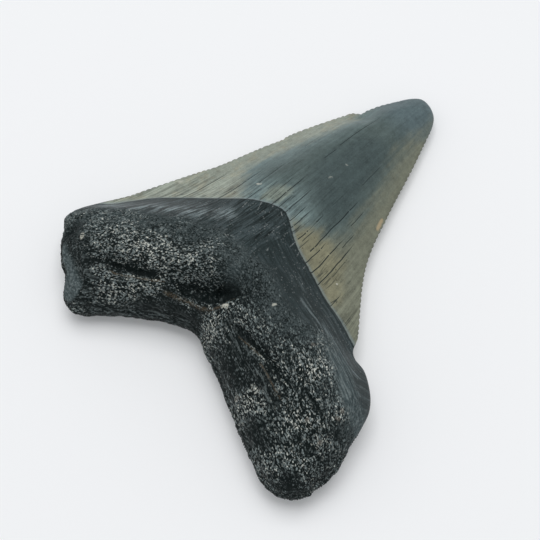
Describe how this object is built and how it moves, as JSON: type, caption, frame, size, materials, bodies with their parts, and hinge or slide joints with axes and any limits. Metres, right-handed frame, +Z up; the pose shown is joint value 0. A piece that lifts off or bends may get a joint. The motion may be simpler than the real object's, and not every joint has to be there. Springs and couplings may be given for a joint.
{
  "type": "fossil megalodon tooth",
  "caption": "Triangular fossil shark tooth with finely serrated cutting edges, a chevron bourlette and a rough two-lobed root, lying on its flatter face.",
  "frame": {"origin": "on the plane that the tooth rests on, under the middle of its bounding box", "axes": "+Y from the root towards the tip, +X across the tooth to the short root shoulder's side, +Z up out of the shown (lingual) face"},
  "size_m": [0.063, 0.0734, 0.0161],
  "materials": {
    "fossil": "mineralised tooth: satin grey-green enamel crown, smooth near-black bourlette, rough charcoal root bone with pale specks"
  },
  "bodies": {
    "root": {"tooth": "fossil"}
  },
  "joints": []
}
